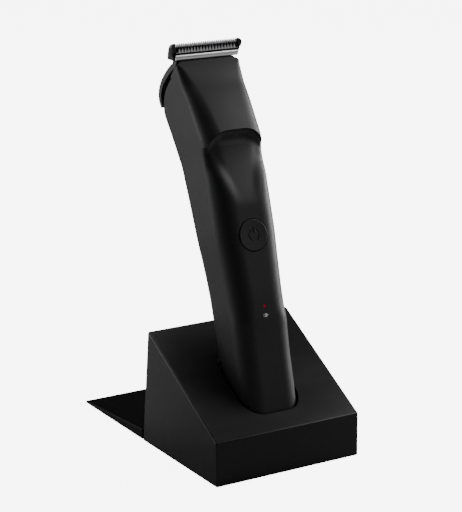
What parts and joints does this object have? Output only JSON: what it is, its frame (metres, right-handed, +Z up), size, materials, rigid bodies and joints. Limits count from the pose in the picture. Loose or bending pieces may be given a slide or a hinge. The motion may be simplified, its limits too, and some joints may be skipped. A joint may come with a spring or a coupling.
{
  "type": "hair clipper on charging stand",
  "caption": "Slim cordless hair clipper with a toothed cutter and round power button, leaning in the socket of a wedge-shaped charging stand with a flat tail.",
  "frame": {"origin": "centre of the footprint, on the table under the stand", "axes": "+Z up, -Y out of the front face of the stand and the button side of the handset, +X to the right seen from the front"},
  "size_m": [0.066, 0.1134, 0.1629],
  "materials": {
    "gloss_black": "glossy black moulding",
    "inner_black": "plain black moulding",
    "charcoal": "soft-touch charcoal",
    "foot_rubber": "soft rubber",
    "steel": "ground steel",
    "dark_steel": "darkened steel",
    "gold": "gold-plated contact",
    "board": "green circuit board",
    "red_plastic": "red plastic",
    "black_wire": "wire insulation",
    "battery": "blue sleeve over the cell",
    "motor_metal": "plated motor can",
    "copper": "copper winding",
    "nylon": "natural nylon"
  },
  "bodies": {
    "stand": {"stand_shell": "gloss_black", "stand_base": "gloss_black", "socket_liner": "inner_black", "contact_holder": "nylon", "stand_circuit_board": "board", "dc_inlet": "inner_black", "inlet_pin": "steel", "stand_wire_left": "black_wire", "stand_wire_right": "red_plastic", "contact_spring_left": "steel", "contact_spring_right": "steel", "stand_foot_1": "foot_rubber", "stand_foot_2": "foot_rubber", "stand_foot_3": "foot_rubber", "stand_foot_4": "foot_rubber", "stand_screw_1": "dark_steel", "stand_screw_2": "dark_steel", "stand_screw_3": "dark_steel", "stand_screw_4": "dark_steel"},
    "contact_left": {"contact_pin_left": "gold"},
    "contact_right": {"contact_pin_right": "gold"},
    "handset": {"front_shell": "charcoal", "rear_shell": "charcoal", "led_lens": "red_plastic", "circuit_board": "board", "tact_switch": "inner_black", "battery_cell": "battery", "battery_tab_top": "steel", "battery_tab_bottom": "steel", "motor_can": "motor_metal", "motor_end_cap": "inner_black", "motor_mount": "inner_black", "charge_terminal_left": "gold", "charge_terminal_right": "gold", "terminal_board": "board", "charge_lead_left": "black_wire", "charge_lead_right": "red_plastic", "shell_screw_1": "dark_steel", "shell_screw_2": "dark_steel"},
    "button": {"power_button": "charcoal"},
    "rotor": {"motor_shaft": "steel", "motor_armature": "copper", "eccentric_cam": "nylon"},
    "blade_unit": {"blade_holder": "inner_black", "fixed_blade": "dark_steel", "blade_screw_left": "dark_steel", "blade_screw_right": "dark_steel"},
    "cutter": {"moving_blade": "steel", "cutter_carrier": "nylon"}
  },
  "joints": [
    {"name": "handset_lift", "type": "slide", "parent": "stand", "child": "handset", "axis": [0, 0.2756, 0.9613], "range_m": [0, 0.05]},
    {"name": "power_press", "type": "slide", "parent": "handset", "child": "button", "axis": [0, 0.9613, -0.2756], "range_m": [0, 0.0006], "stiffness_N_per_m": 2000},
    {"name": "rotor_spin", "type": "hinge", "parent": "handset", "child": "rotor", "pos_m": [0, -0.00208, 0.11867], "axis": [0, 0.2756, 0.9613], "continuous": true},
    {"name": "blade_open", "type": "hinge", "parent": "handset", "child": "blade_unit", "pos_m": [0, 0.01885, 0.1356], "axis": [-1, 0, 0], "range_deg": [0, 35]},
    {"name": "cutter_slide", "type": "slide", "parent": "blade_unit", "child": "cutter", "axis": [1, 0, 0], "range_m": [-0.0009, 0.0009]},
    {"name": "contact_press_left", "type": "slide", "parent": "stand", "child": "contact_left", "axis": [0, 0.2756, 0.9613], "range_m": [-0.001, 0], "stiffness_N_per_m": 400, "springref_m": 0.0003, "deforming": ["contact_spring_left"]},
    {"name": "contact_press_right", "type": "slide", "parent": "stand", "child": "contact_right", "axis": [0, 0.2756, 0.9613], "range_m": [-0.001, 0], "stiffness_N_per_m": 400, "springref_m": 0.0003, "deforming": ["contact_spring_right"]}
  ]
}
